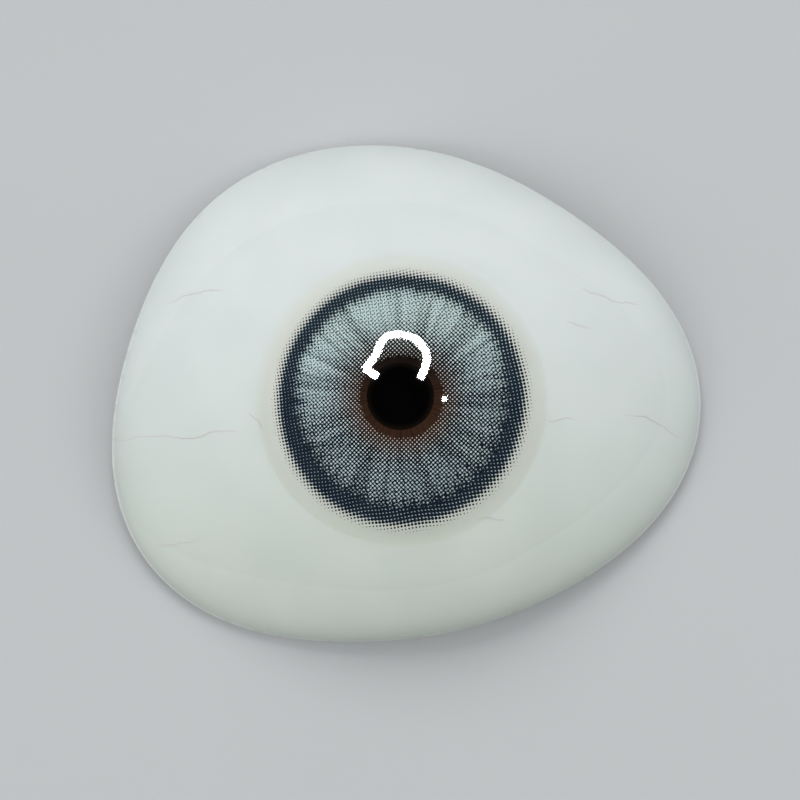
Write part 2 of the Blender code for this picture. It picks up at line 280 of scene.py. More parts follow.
def set_finishes(piece, outer, inner, count):
    """The outer finish on a body's first rings and on its top fan, and the inner one on all the rest."""
    for material in (outer, inner):
        piece.data.materials.append(material)
    choice = np.arange(len(piece.data.polygons)) >= (count - 1) * SEGMENTS
    choice[-2 * SEGMENTS : -SEGMENTS] = False
    piece.data.polygons.foreach_set("material_index", choice.astype(np.int32))


def set_value(piece, name, values):
    """Stores one number for each point of the mesh, for a material to read."""
    layer = piece.data.attributes.new(name, "FLOAT", "POINT")
    layer.data.foreach_set("value", np.asarray(values, np.float32).ravel())


def curve_of(distance_mm, stops):
    """Straight lines between stops of (distance in mm, value), and level beyond them."""
    at, value = zip(*stops)
    return np.interp(distance_mm, at, value)


# %% [markdown]
# ## Effects that several finishes share
#
# Real acrylic has slow clouds in it, and paint and ink show fine lines that run out from the pupil.
# Both are node groups, so that each material can place one with values of its own. A group puts out
# only a mask; the shader stays in the material.

# %% A way to place nodes


def place(tree, kind, inputs=None, **settings):
    """Adds a node, sets its options, and sets or links its inputs by name or number."""
    node = tree.nodes.new(kind)
    for key, value in settings.items():
        setattr(node, key, value)
    for key, value in (inputs or {}).items():
        if isinstance(value, bpy.types.NodeSocket):
            tree.links.new(value, node.inputs[key])
        else:
            node.inputs[key].default_value = value
    return node


def reckon(tree, operation, first, second, **settings):
    """The result of one sum with two numbers or sockets."""
    return place(tree, "ShaderNodeMath", {0: first, 1: second}, operation=operation, **settings).outputs[0]


def reckon_vector(tree, operation, inputs, output=0):
    """The result of one sum with vectors."""
    return place(tree, "ShaderNodeVectorMath", inputs, operation=operation).outputs[output]


def ease(tree, value, low, high, to_low=0.0, to_high=1.0):
    """A value eased from one range to another with a smooth step."""
    inputs = {"Value": value, "From Min": low, "From Max": high, "To Min": to_low, "To Max": to_high}
    return place(tree, "ShaderNodeMapRange", inputs, interpolation_type="SMOOTHSTEP").outputs["Result"]


def part(tree, vector, axis):
    """The X, Y or Z of a vector."""
    return place(tree, "ShaderNodeSeparateXYZ", {"Vector": vector}).outputs[axis]


def flattened(tree, where):
    """A point's way from the eye's axis: its X and Y, without its Z."""
    return reckon_vector(tree, "MULTIPLY", {0: where, 1: (1.0, 1.0, 0.0)})


def from_axis(tree, where):
    """The distance of a point from the eye's axis."""
    return reckon_vector(tree, "LENGTH", {0: flattened(tree, where)}, "Value")


# %% Clouds in cured acrylic


def new_group(name, numbers):
    """An empty node group that gets a Vector and named numbers and gives a Mask, and its two ends."""
    group = bpy.data.node_groups.new(name, "ShaderNodeTree")
    group.interface.new_socket(name="Vector", in_out="INPUT", socket_type="NodeSocketVector")
    for socket, value in numbers.items():
        made = group.interface.new_socket(name=socket, in_out="INPUT", socket_type="NodeSocketFloat")
        made.default_value = value
    group.interface.new_socket(name="Mask", in_out="OUTPUT", socket_type="NodeSocketFloat")
    print("group:", name)
    return group, group.nodes.new("NodeGroupInput").outputs, group.nodes.new("NodeGroupOutput").inputs


def clouds_group():
    """A mask of slow clouds: noise eased from half less the softness to half plus the softness."""
    group, given, result = new_group("acrylic_clouds", {"Per Metre": 300.0, "Softness": 0.2})
    inputs = {"Vector": given["Vector"], "Scale": given["Per Metre"], "Detail": 3.0}
    noise = place(group, "ShaderNodeTexNoise", inputs)
    low = reckon(group, "SUBTRACT", 0.5, given["Softness"])
    high = reckon(group, "ADD", 0.5, given["Softness"])
    group.links.new(ease(group, noise.outputs["Fac"], low, high), result["Mask"])
    return group


CLOUDS = clouds_group()

# %% Lines that run out from the pupil


def fibres_group():
    """A mask of fibres: noise read at the unit direction times a count, lifted by distance times a rate."""
    group, given, result = new_group("radial_fibres", {"Count": 12.0, "Along Per Metre": 500.0})
    unit = reckon_vector(group, "NORMALIZE", {0: flattened(group, given["Vector"])})
    spread = reckon_vector(group, "SCALE", {0: unit, "Scale": given["Count"]})
    along = reckon(group, "MULTIPLY", from_axis(group, given["Vector"]), given["Along Per Metre"])
    lift = place(group, "ShaderNodeCombineXYZ", {"Z": along})
    where = reckon_vector(group, "ADD", {0: spread, 1: lift.outputs[0]})
    noise = place(group, "ShaderNodeTexNoise", {"Vector": where, "Scale": 1.0, "Detail": 4.0})
    inputs = {"Value": noise.outputs["Fac"], "From Min": 0.35, "From Max": 0.65}
    group.links.new(place(group, "ShaderNodeMapRange", inputs).outputs["Result"], result["Mask"])
    return group


FIBRES = fibres_group()

# %% Starting and finishing a material
DULL = {"Specular IOR Level": 0.0}


def new_material(name):
    """A material with an empty tree, and object coordinates centred on the eye's axis."""
    material = bpy.data.materials.new(name)
    material.use_nodes = True
    tree = material.node_tree
    tree.nodes.clear()
    coordinates = place(tree, "ShaderNodeTexCoord")
    centred = place(tree, "ShaderNodeMapping", {"Vector": coordinates.outputs["Object"], "Location": -AXIS})
    return material, tree, centred.outputs["Vector"]


def masked(tree, group, *inputs):
    """The mask of a shared effect placed in this tree, with its inputs in their order."""
    return place(tree, "ShaderNodeGroup", dict(enumerate(inputs)), node_tree=group).outputs["Mask"]


def rgba(colour):
    """A linked colour as it is, and three numbers with an alpha of 1."""
    return colour if isinstance(colour, bpy.types.NodeSocket) else (*colour, 1.0)


def blend(tree, mask, first, second):
    """A mix of two colours: the first where the mask is 0, and the second where it is 1."""
    inputs = {0: mask, 6: rgba(first), 7: rgba(second)}
    return place(tree, "ShaderNodeMix", inputs, data_type="RGBA").outputs[2]


def finished(material, surface):
    """The material, with this shader as its surface."""
    place(material.node_tree, "ShaderNodeOutputMaterial", {"Surface": surface})
    print("finish:", material.name)
    return material


def principled(material, colour, roughness, more):
    """The material with a Principled shader of this colour and roughness, and more inputs by name."""
    inputs = {"Base Color": colour, "Roughness": roughness, **more}
    return finished(material, place(material.node_tree, "ShaderNodeBsdfPrincipled", inputs).outputs[0])


# %% [markdown]
# ## The white shell
#
# The shell is cast from white acrylic, ground to the outline and polished. Its white is a cold one
# near the upper rim and turns greener towards the lower rim, and darker there as painted shade. A
# narrow band inside the rim is darker still, painted shade where the wall turns away from the light,
# and its edge carries a painted highlight. The white round the iris is lighter too, painted light for
# what the cornea lets in. Two numbers stored with the points say where. The front of the shell lies
# under the clear layer and is dull there, while the bead and the hollow back are polished, so the
# piece wears two finishes that share one colour recipe.

# %% White acrylic
SHELL_COOL = (0.82, 0.872, 0.868)
# The lower white is greener and darker; the darkening is painted shade.
SHELL_WARM_SHADED = (0.735, 0.795, 0.73)
# The white of the painted highlight on the bead and of the painted light round the iris seat.
SHELL_PAINTED_LIGHT = (0.92, 0.96, 0.94)
SHELL_TURNS_Y = (5 * MM, -11 * MM)
ACRYLIC_IOR = 1.49
ROUGHNESS_SWING = 0.04


def shell_colour(tree, where):
    """Cool to warm white with clouds, darker downwards and in a rim band as painted shade, and painted light.
    """
    # Painted shade: the white darkens from the upper to the lower rim.
    ground = blend(tree, ease(tree, part(tree, where, "Y"), *SHELL_TURNS_Y), SHELL_COOL, SHELL_WARM_SHADED)
    grey = place(tree, "ShaderNodeHueSaturation", {"Color": ground, "Value": 0.955, "Saturation": 1.1})
    clouded = blend(tree, masked(tree, CLOUDS, where, 240.0, 0.22), ground, grey.outputs[0])
    # A darker copy of the white, laid on by the stored mask as a painted shade inside the rim.
    shaded_copy = place(tree, "ShaderNodeHueSaturation", {"Color": clouded, "Value": 0.6, "Saturation": 1.25})
    shade = place(tree, "ShaderNodeAttribute", attribute_name="painted_rim_shade")
    rim_shaded = blend(tree, shade.outputs["Fac"], clouded, shaded_copy.outputs[0])
    # Painted light: a painted highlight on the bead and a lighter white round the iris seat.
    light = place(tree, "ShaderNodeAttribute", attribute_name="painted_light")
    return blend(tree, light.outputs["Fac"], rim_shaded, SHELL_PAINTED_LIGHT)


def white_acrylic(name, roughness, coat):
    """Acrylic with a little light let in under its surface; a coat stands for the polish."""
    material, tree, where = new_material(name)
    clouds = masked(tree, CLOUDS, where, 900.0, 0.3)
    rough = ease(tree, clouds, 0.0, 1.0, roughness - ROUGHNESS_SWING, roughness + ROUGHNESS_SWING)
    more = {
        "IOR": ACRYLIC_IOR,
        "Specular IOR Level": coat * 0.6,
        "Subsurface Weight": 0.12,
        "Subsurface Radius": (1.0, 0.9, 0.8),
        "Subsurface Scale": 0.8 * MM,
        "Coat Weight": coat,
        "Coat Roughness": 0.06,
    }
    return principled(material, shell_colour(tree, where), rough, more)


WHITE_UNDER_CLEAR = white_acrylic("white_under_clear", 0.55, 0.0)
WHITE_POLISHED = white_acrylic("white_polished", 0.3, 0.8)

# %% [markdown]
# The clear layer is feathered out towards the rim, so the white comes up to meet the bead there. The
# bead is half a circle about the rim's middle, and the hollow back is a cubic curve from its end to a
# level meeting with the axis. The seats for iris and pupil are cut into the front, as in the CAD.

# %% The shell's rings
WHITE_DEPTH = 0.67 * MM
WHITE_DEPTH_AT_RIM = 0.02 * MM
SEAT_RADIUS = 5.8 * MM
SEAT_STATION = 0.805
PUPIL_SEAT_RADIUS = 2.25 * MM
SEAT_GAP = 0.1 * MM
BEAD_STEPS = 16
BACK_STEPS = 36
BACK_HEIGHT = 5.44 * MM
BACK_ROUNDNESS = 0.42


def feathered(station, even, at_rim):
    """A depth that is even on the turned part, and runs straight to another one at the rim."""
    return even + np.maximum(station - 1, 0) * (at_rim - even)


def white_front(direction, station):
    """The white's own front: the polished front less the feathered depth of what covers the white."""
    return under_front(direction, station, feathered(station, WHITE_DEPTH, WHITE_DEPTH_AT_RIM))


rim_r, rim_z = rim_centre(DIRECTIONS)
lean = rim_lean(DIRECTIONS)
turn = math.pi / 2 - lean - math.pi * np.arange(BEAD_STEPS + 1)[:, None] / BEAD_STEPS
bead_rings = ring_stack(rim_r + BEAD_RADIUS * np.cos(turn), rim_z + BEAD_RADIUS * np.sin(turn))
start = (rim_r - BEAD_RADIUS * np.sin(lean), rim_z - BEAD_RADIUS * np.cos(lean))
reach = BACK_ROUNDNESS * np.hypot(start[0], BACK_HEIGHT - start[1])
leave = (start[0] - reach * np.cos(lean), start[1] + reach * np.sin(lean))
curve = (start, leave, (reach, BACK_HEIGHT), (0.0, BACK_HEIGHT))
back_rings = ring_stack(*cubic(curve, steps(0, 1, BACK_STEPS + 1)[:-1])[0])
print("bead and back:", len(bead_rings), len(back_rings), "rings")

# %% The shell
seat_rings = turned([
    (PUPIL_SEAT_RADIUS, PUPIL_BOTTOM - SEAT_GAP),
    (PUPIL_SEAT_RADIUS, IRIS_BOTTOM - SEAT_GAP),
    (SEAT_RADIUS, IRIS_BOTTOM - SEAT_GAP),
])
stations = np.concatenate([[[SEAT_STATION]], steps(SEAT_STATION, 1, 10), steps(1, 2, 44)])
wall_rings = ring_stack(*white_front(DIRECTIONS, stations))
shell_rings = np.concatenate([seat_rings, wall_rings, bead_rings, back_rings])
bead_start = len(seat_rings) + len(wall_rings)
white_shell = closed_body(
    "white_shell", shell_rings, (0, 0, PUPIL_BOTTOM - SEAT_GAP), (0, 0, BACK_HEIGHT)
)
set_finishes(white_shell, WHITE_UNDER_CLEAR, WHITE_POLISHED, bead_start)
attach(white_shell, "root")
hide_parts("scleral_body")

# %% [markdown]
# The painted shade is a falling exponential of the distance inside the outline, and its strength
# swings with the cosine of the turn from a crest near the bottom. The painted light is a curve of the
# distance from the axis by the seat, and the positive half of a sine on the bead, a painted highlight.

# %% Painted shade and painted light stored with the shell's points
SHADE = 0.62
SHADE_SWING = 0.42
SHADE_CREST = -80
SHADE_DEPTH = 0.6 * MM
BEAD_PAINTED_LIGHT_STEPS = 10
SEAT_PAINTED_LIGHT = ((5.8, 0.75), (6.3, 0.75), (6.45, 0.50), (6.65, 0.18), (6.9, 0.0))
shell_r = np.hypot(shell_rings[..., 0], shell_rings[..., 1])
# Painted shade inside the rim, strongest towards the bottom.
strength = SHADE + SHADE_SWING * np.cos(DIRECTIONS - math.radians(SHADE_CREST))
shade = strength * np.exp((shell_r - outline) / SHADE_DEPTH)
# Painted light round the iris seat and a painted highlight on the bead.
light = np.zeros_like(shade)
light[len(seat_rings) : bead_start] = curve_of(shell_r[len(seat_rings) : bead_start] / MM, SEAT_PAINTED_LIGHT)
bead_painted_light = np.sin(np.pi * np.arange(BEAD_STEPS + 1) / BEAD_PAINTED_LIGHT_STEPS)
light[bead_start : bead_start + BEAD_STEPS + 1] = np.maximum(bead_painted_light, 0)[:, None]
set_value(white_shell, "painted_rim_shade", np.append(shade, (0, 0)))
set_value(white_shell, "painted_light", np.append(light, (0, 0)))
print("greatest shade:", shade.max().round(2), "and light:", light.max().round(2))

# %% [markdown]
# ## The iris and the pupil
#
# The iris button is a thin disc with brown paint that the maker strokes outwards from the pupil. It
# shows as a dark ring in the clear middle of the lens, brown below the pupil and nearly black above
# it, that darkening being painted shade, and as an almost black ground between the printed dots. A
# bump gives the strokes fine ridges.

# %% Brown paint
IRIS_RADIUS = 5.7 * MM
PUPIL_RADIUS = 1.65 * MM
IRIS_BROWN = (0.080, 0.040, 0.026)
IRIS_STROKE = tuple(0.55 * c for c in IRIS_BROWN)
# The colour of the painted shade above the pupil.
IRIS_PAINTED_SHADE = (0.024, 0.017, 0.0145)
IRIS_DARK = (0.0085, 0.0085, 0.0105)
BROWN_SHADED_Y = (-0.3 * MM, 1.9 * MM)
BROWN_FADES_R = (2.1 * MM, 3.3 * MM)


def iris_paint():
    """Brown with strokes along the fibres, darker upwards as painted shade, almost black away from the pupil.
    """
    material, tree, where = new_material("iris_paint")
    strokes = masked(tree, FIBRES, where, 26.0, 700.0)
    brown = blend(tree, strokes, IRIS_BROWN, IRIS_STROKE)
    # Painted shade: the brown darkens above the pupil.
    brown = blend(tree, ease(tree, part(tree, where, "Y"), *BROWN_SHADED_Y), brown, IRIS_PAINTED_SHADE)
    colour = blend(tree, ease(tree, from_axis(tree, where), *BROWN_FADES_R), brown, IRIS_DARK)
    bump = place(tree, "ShaderNodeBump", {"Height": strokes, "Strength": 0.4, "Distance": 0.02 * MM})
    rough = ease(tree, strokes, 0.0, 1.0, 0.45, 0.6)
    return principled(material, colour, rough, {**DULL, "Normal": bump.outputs["Normal"]})


# %% The iris button
IRIS_SOFT = 0.06 * MM


def rounded(radius, top, soft, count, side=1):
    """A disc's corner in (r, z): a quarter circle from the flat top to an outer wall, or an inner one."""
    turn = np.linspace(0, math.pi / 2, count)
    return np.stack([radius + side * soft * (np.sin(turn) - 1), top + soft * (np.cos(turn) - 1)], axis=1)


flat_r = np.linspace(PUPIL_RADIUS + IRIS_SOFT, IRIS_RADIUS - IRIS_SOFT, 14)[1:-1]
iris_rings = turned([
    (PUPIL_RADIUS, IRIS_BOTTOM),
    rounded(PUPIL_RADIUS, IRIS_TOP, IRIS_SOFT, 6, side=-1)[::-1],
    np.column_stack([flat_r, np.full_like(flat_r, IRIS_TOP)]),
    rounded(IRIS_RADIUS, IRIS_TOP, IRIS_SOFT, 6),
    (IRIS_RADIUS, IRIS_BOTTOM),
])
number = np.arange(len(iris_rings) * SEGMENTS).reshape(-1, SEGMENTS)
faces = joined(number, np.roll(number, -1, axis=0))
iris_button = add_mesh("iris_button", iris_rings.reshape(-1, 3) + AXIS, (faces,), sharp=40)
iris_button.data.materials.append(iris_paint())
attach(iris_button, "root")
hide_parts("iris_disc")

# %% [markdown]
# The pupil is a black disc behind the hole in the iris. Its paint has a trace of dust and sheen, so
# colour and roughness follow faint clouds, and it thins to brown towards the hole's edge.

# %% The pupil
PUPIL_DISC_RADIUS = 2.15 * MM
PUPIL_SOFT = 0.04 * MM
PUPIL_BLACK = (0.0016, 0.0016, 0.002)
PUPIL_DUST = (0.0032, 0.003, 0.003)
PUPIL_EDGE = (0.018, 0.0135, 0.0105)
PUPIL_THINS_R = (1.3 * MM, PUPIL_RADIUS)


def pupil_paint():
    """Near black with faint clouds in its colour and sheen, which thins to dark brown at its edge."""
    material, tree, where = new_material("pupil_paint")
    clouds = masked(tree, CLOUDS, where, 2500.0, 0.25)
    thin = ease(tree, from_axis(tree, where), *PUPIL_THINS_R)
    colour = blend(tree, thin, blend(tree, clouds, PUPIL_BLACK, PUPIL_DUST), PUPIL_EDGE)
    return principled(material, colour, ease(tree, clouds, 0.0, 1.0, 0.4, 0.55), DULL)


pupil_rings = turned([
    *((radius * MM, PUPIL_TOP) for radius in (0.5, 1.0, 1.5)),
    rounded(PUPIL_DISC_RADIUS, PUPIL_TOP, PUPIL_SOFT, 5),
    (PUPIL_DISC_RADIUS, PUPIL_BOTTOM),
])
pupil_button = closed_body("pupil_button", pupil_rings, (0, 0, PUPIL_TOP), (0, 0, PUPIL_BOTTOM))
pupil_button.data.materials.append(pupil_paint())
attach(pupil_button, "root")
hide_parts("pupil_disc")

# %% [markdown]
# ## The veins
#
# The maker lays short lengths of unravelled red thread on the wet white and seals them under the
# clear layer. So each vein is a hair-thin tube that lies on the white, follows its curve and thins
# out at both ends. All of them are one mesh.

# %% Routes of the veins in mm
VEIN_ROUTES = (
    ((-14.1, -2.3), (-13.0, -2.0), (-11.3, -2.0), (-10.4, -2.1), (-9.0, -1.7), (-7.9, -1.8)),
    ((-11.6, 4.6), (-10.7, 5.0), (-9.8, 5.2), (-8.7, 5.3)),
    ((-7.6, -0.8), (-7.1, -1.1), (-6.8, -1.7)),
    ((9.0, 5.3), (9.7, 5.1), (10.8, 4.7), (11.9, 4.6)),
    ((8.2, 3.7), (8.8, 3.5), (9.5, 3.4)),
    ((10.9, -0.9), (12.0, -1.0), (12.8, -1.3), (13.5, -1.8), (14.1, -2.1)),
    ((7.0, -1.1), (7.6, -1.2), (8.1, -1.1), (8.6, -1.1)),
    ((3.8, -6.1), (4.2, -6.0), (5.1, -6.1)),
    ((-12.2, -7.5), (-11.0, -7.3), (-9.9, -7.1)),
)
SLOW_WRIGGLE, SLOW_RATE = 0.03 * MM, 5.1
QUICK_WRIGGLE, QUICK_RATE = 0.02 * MM, 11.3


def smooth_route(route, count):
    """A curve through the points with Catmull-Rom weights, plus two sines of the way along across it."""
    ends = np.array(route) * MM
    ends = np.vstack([2 * ends[0] - ends[1], ends, 2 * ends[-1] - ends[-2]])
    spans = len(route) - 1
    t = np.linspace(0, spans, count)
    k = np.minimum(t.astype(int), spans - 1)
    s = (t - k)[:, None]
    before, here, there, beyond = (ends[k + n] for n in range(4))
    bend = 2 * before - 5 * here + 4 * there - beyond
    swing = 3 * here - before - 3 * there + beyond
    points = here + ((there - before) * s + bend * s**2 + swing * s**3) / 2
    run = np.gradient(points, axis=0)
    length = np.linalg.norm(run, axis=1, keepdims=True)
    side = np.stack([-run[:, 1], run[:, 0]], axis=1) / length
    along = np.cumsum(length, axis=0) / MM
    slow = SLOW_WRIGGLE * np.sin(SLOW_RATE * along + 3 * route[0][0])
    return points + side * (slow + QUICK_WRIGGLE * np.sin(QUICK_RATE * along + route[0][1]))


def white_ground(points):
    """The height of the white under each (x, y): the station is found by halving, all points together."""
    direction = np.arctan2(points[:, 1], points[:, 0])[None, :]
    radius = np.hypot(points[:, 0], points[:, 1])[None, :]
    low, high = np.zeros_like(radius), np.full_like(radius, 2.0)
    for _ in range(40):
        middle = (low + high) / 2
        inside = white_front(direction, middle)[0] < radius
        low, high = np.where(inside, middle, low), np.where(inside, high, middle)
    return white_front(direction, low)[1][0]


# %% The veins as thin tubes
VEIN_RADIUS = 0.026 * MM
VEIN_LIFT = 0.3 * VEIN_RADIUS
VEIN_TIP = 0.25
VEIN_SIDES = 8
VEIN_STEPS = 16


def vein_tube(route):
    """A tube along the route: the circle's radius is thinned by a root of the sine of the way along."""
    count = VEIN_STEPS * len(route)
    flat = smooth_route(route, count)
    centre = np.column_stack([flat, white_ground(flat) + VEIN_LIFT])
    run = np.gradient(centre, axis=0)
    run /= np.linalg.norm(run, axis=1, keepdims=True)
    side = np.cross(run, (0.0, 0.0, 1.0))
    side /= np.linalg.norm(side, axis=1, keepdims=True)
    rise = np.cross(side, run)
    along = np.linspace(0, 1, count)[:, None, None]
    width = VEIN_RADIUS * (VEIN_TIP + (1 - VEIN_TIP) * np.sin(np.pi * along) ** 0.5)
    turn = np.radians(np.arange(VEIN_SIDES) * 360 / VEIN_SIDES)[None, :, None]
    return centre, centre[:, None] + width * (np.cos(turn) * side[:, None] + np.sin(turn) * rise[:, None])


points, walls, ends, count = [], [], [], 0
for route in VEIN_ROUTES:
    centre, rings = vein_tube(route)
    number = count + np.arange(len(rings) * VEIN_SIDES).reshape(-1, VEIN_SIDES)
    count = number.max() + 3
    points += [rings.reshape(-1, 3), centre[:1], centre[-1:]]
    walls.append(joined(number[1:], number[:-1]))
    ends += [fan(count - 2, number[0, ::-1]), fan(count - 1, number[-1])]
veins = add_mesh("veins", np.vstack(points) + AXIS, (np.vstack(walls), np.vstack(ends)))

# %% Sealed red thread
THREAD_PALE = (0.79, 0.785, 0.775)
THREAD_RED = (0.745, 0.70, 0.695)


def vein_thread():
    """Thread washed pale by the acrylic around it, darker red where it is thick."""
    material, tree, where = new_material("sealed_thread")
    clouds = masked(tree, CLOUDS, where, 700.0, 0.15)
    colour = blend(tree, clouds, THREAD_PALE, THREAD_RED)
    return principled(material, colour, ease(tree, clouds, 0.0, 1.0, 0.6, 0.75), DULL)


veins.data.materials.append(vein_thread())
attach(veins, "root")
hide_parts(*[f"vein_thread_{number}" for number in range(1, len(VEIN_ROUTES) + 1)])

# %% [markdown]
# ## The clear front
#
# A clear layer covers the white and swells to the cornea. It bends light only a little, so a
# see-through shader with gloss laid over it by Fresnel looks right and renders quickly. The inner
# faces have no gloss, because they are cured to what lies under them. Light that leaves through the
# skin is let out whole: Backfacing takes the gloss away for it, and Is Shadow Ray does so on the way
# from the white to a lamp. The lens's edge is thin and bridged by tears, so its gloss fades out there.

# %% Clear finishes
CLEAR_RIPPLE = 0.004 * MM
NO_FADE = (1.0, 2.0)


def clear_gloss(name, ior, tint, roughness, fade):
    """Clear skin: see-through with a tint, and a gloss that fades between two distances from the axis."""
    material, tree, where = new_material(name)
    noise = place(tree, "ShaderNodeTexNoise", {"Vector": where, "Scale": 420.0, "Detail": 2.0})
    inputs = {"Height": noise.outputs["Fac"], "Strength": 1.0, "Distance": CLEAR_RIPPLE}
    normal = place(tree, "ShaderNodeBump", inputs).outputs["Normal"]
    clear = place(tree, "ShaderNodeBsdfTransparent", {"Color": rgba(tint)})
    gloss = place(tree, "ShaderNodeBsdfAnisotropic", {"Roughness": roughness, "Normal": normal})
    fresnel = place(tree, "ShaderNodeFresnel", {"IOR": ior, "Normal": normal})
    behind = place(tree, "ShaderNodeNewGeometry").outputs["Backfacing"]
    shadow = place(tree, "ShaderNodeLightPath").outputs["Is Shadow Ray"]
    near = ease(tree, from_axis(tree, where), *fade, 1.0, 0.0)
    outer = reckon(tree, "SUBTRACT", near, reckon(tree, "MAXIMUM", behind, shadow))
    share = reckon(tree, "MULTIPLY", fresnel.outputs[0], outer, use_clamp=True)
    mix = place(tree, "ShaderNodeMixShader", {0: share, 1: clear.outputs[0], 2: gloss.outputs[0]})
    return finished(material, mix.outputs[0])


def clear_inside(name, tint):
    """The inner face of a clear piece: see-through, with a tint that follows faint clouds."""
    material, tree, where = new_material(name)
    colour = blend(tree, masked(tree, CLOUDS, where, 300.0, 0.3), tint, tuple(0.995 * c for c in tint))
    return finished(material, place(tree, "ShaderNodeBsdfTransparent", {"Color": colour}).outputs[0])


FRONT_GLOSS = clear_gloss("front_gloss", ACRYLIC_IOR, (0.998, 1.0, 0.998), 0.03, NO_FADE)
FRONT_INSIDE = clear_inside("front_inside", (1.0, 1.0, 0.998))

# %% The clear front's rings
CLEAR_DEPTH = 0.5 * MM
CLEAR_DEPTH_AT_RIM = 0.01 * MM
CLEAR_SEAT_STATION = 0.79
WINDOW_HEIGHT = IRIS_TOP + SEAT_GAP

outside = np.concatenate([steps(0, 1, 60), steps(1, 2, 50)])
inside = np.concatenate([[[CLEAR_SEAT_STATION]], steps(CLEAR_SEAT_STATION, 1, 8), steps(1, 2, 40)])[::-1]
clear_depth = feathered(inside, CLEAR_DEPTH, CLEAR_DEPTH_AT_RIM)
outer_rings = ring_stack(*under_front(DIRECTIONS, outside, 0.0))
inner_rings = ring_stack(*under_front(DIRECTIONS, inside, clear_depth))
clear_front = closed_body(
    "clear_front", np.concatenate([outer_rings, inner_rings]), (0, 0, EYE_HEIGHT), (0, 0, WINDOW_HEIGHT)
)
set_finishes(clear_front, FRONT_GLOSS, FRONT_INSIDE, len(outer_rings))
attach(clear_front, "root")
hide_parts("clear_overlay")

# %% [markdown]
# ## The contact lens
#
# A soft lens is a film 0.12 mm thick, cast in hydrogel. It drapes over the cornea on a film of tears
# and sits a little low. Its two skins follow the front of the eye at two heights. Over the last 1.2 mm
# they draw together in a straight line, to a rounded edge.

# %% The draped lens
LENS_RADIUS = 7.1 * MM
LENS_THICKNESS = 0.12 * MM
LENS_EDGE = 0.06 * MM
LENS_TAPER = 1.2 * MM
LENS_SHIFT = np.array([0.05, -0.22]) * MM
TEAR_FILM = 0.05 * MM


def above_front(x, y, height):
    """A point raised along the front's normal: x and y grow by height times the sine of the lean over r."""
    r = np.hypot(x, y)
    lean = turned_lean(r)
    spread = 1 + height * np.sin(lean) / np.maximum(r, 0.001 * MM)
    return np.stack([x * spread, y * spread, turned_height(r) + height * np.cos(lean)], axis=-1)


def lens_rings(distance, height):
    """Rings about the lens's own axis, draped at a height above the front."""
    x = LENS_SHIFT[0] + distance * np.cos(DIRECTIONS)
    y = LENS_SHIFT[1] + distance * np.sin(DIRECTIONS)
    return above_front(x, y, height)


half_edge = LENS_EDGE / 2
distance = steps(0, LENS_RADIUS - half_edge, 60)
taper = np.maximum(0, 1 - (LENS_RADIUS - distance) / LENS_TAPER)
lip_turn = np.radians(np.arange(1, 8) * 22.5)[:, None]
lip_distance = LENS_RADIUS - half_edge + half_edge * np.sin(lip_turn)
lip_height = TEAR_FILM + half_edge + half_edge * np.cos(lip_turn)
front = lens_rings(distance, TEAR_FILM + LENS_THICKNESS + taper * (LENS_EDGE - LENS_THICKNESS))
lip = lens_rings(lip_distance, lip_height)
back = lens_rings(distance[::-1], TEAR_FILM)
foot = np.array([*LENS_SHIFT, turned_height(np.hypot(*LENS_SHIFT)) + TEAR_FILM])
top = foot + (0, 0, LENS_THICKNESS)
soft_lens = closed_body("soft_lens", np.concatenate([front, lip, back]), top, foot, sharp=None)

# %% Wet hydrogel
LENS_TINT = (1.0, 0.993, 0.977)
LENS_GLOSS_FADES = (4.6 * MM, 6.4 * MM)
LENS_GLOSS = clear_gloss("lens_gloss", 1.43, LENS_TINT, 0.025, LENS_GLOSS_FADES)
LENS_INSIDE = clear_inside("lens_inside", LENS_TINT)
set_finishes(soft_lens, LENS_GLOSS, LENS_INSIDE, len(front) + len(lip))
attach(soft_lens, "root")
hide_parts("contact_lens")

# %% [markdown]
# ## The print inside the lens
#
# A coloured lens is printed with dots, because ink is opaque and the eye's own colour has to show
# between them. One plate lays pale dots on a fine lattice turned by 45 degrees, from the clear
# middle outwards. A second plate lays navy dots on a coarser lattice: small ones over the pale field,
# so large in the ring that only holes stay open, and ever smaller outside it. The plates are rolled
# onto a curved mould, which draws both lattices out a little, so the rosettes where they beat against
# each other wander. Each dot is a small disc, so the print stays sharp however near it is seen.

# %% Lattices
PALE_PITCH = 0.147 * MM
PALE_ANGLE = 45
NAVY_PITCH = 0.166 * MM
NAVY_ANGLE = 9.5
DRAW_OUT = 0.006
RIPPLE = 0.03
RIPPLE_RATES = (1.9, 2.3)


def rolled(x, y, phase):
    """Points in mm drawn out by 0.6% per mm towards the lower right, plus a ripple of 0.03 mm."""
    stretch = 1 + DRAW_OUT * (x - y)
    up, across = RIPPLE_RATES
    return x * stretch + RIPPLE * np.sin(up * y + phase), y * stretch + RIPPLE * np.sin(across * x - phase)


def lattice(pitch, angle, reach, shift=0.0):
    """Points of a square lattice near the lens's axis: whole steps plus a shift, turned and rolled."""
    half = int(1.1 * reach / pitch) + 2
    u, v = np.meshgrid(*2 * [np.arange(-half, half + 1) + shift])
    turn = math.radians(angle)
    x = pitch * (u * math.cos(turn) - v * math.sin(turn)).ravel()
    y = pitch * (u * math.sin(turn) + v * math.cos(turn)).ravel()
    x, y = (MM * value for value in rolled(x / MM, y / MM, turn))
    near = np.hypot(x, y) < reach
    return x[near], y[near]


# %% [markdown]
# A dot's size follows a tone, the share of the ground that it covers. The print is lighter in its
# upper half, where the pale dots run together and the ring starts further out, so each ink has two
# tone curves. Radial streaks then make the pale dots swell and shrink, and drive spikes of navy from
# the ring into the pale field.

# %% Tones
UPPER_TURN = math.radians(8)
UPPER_FROM = -0.12
UPPER_SPAN = 0.66


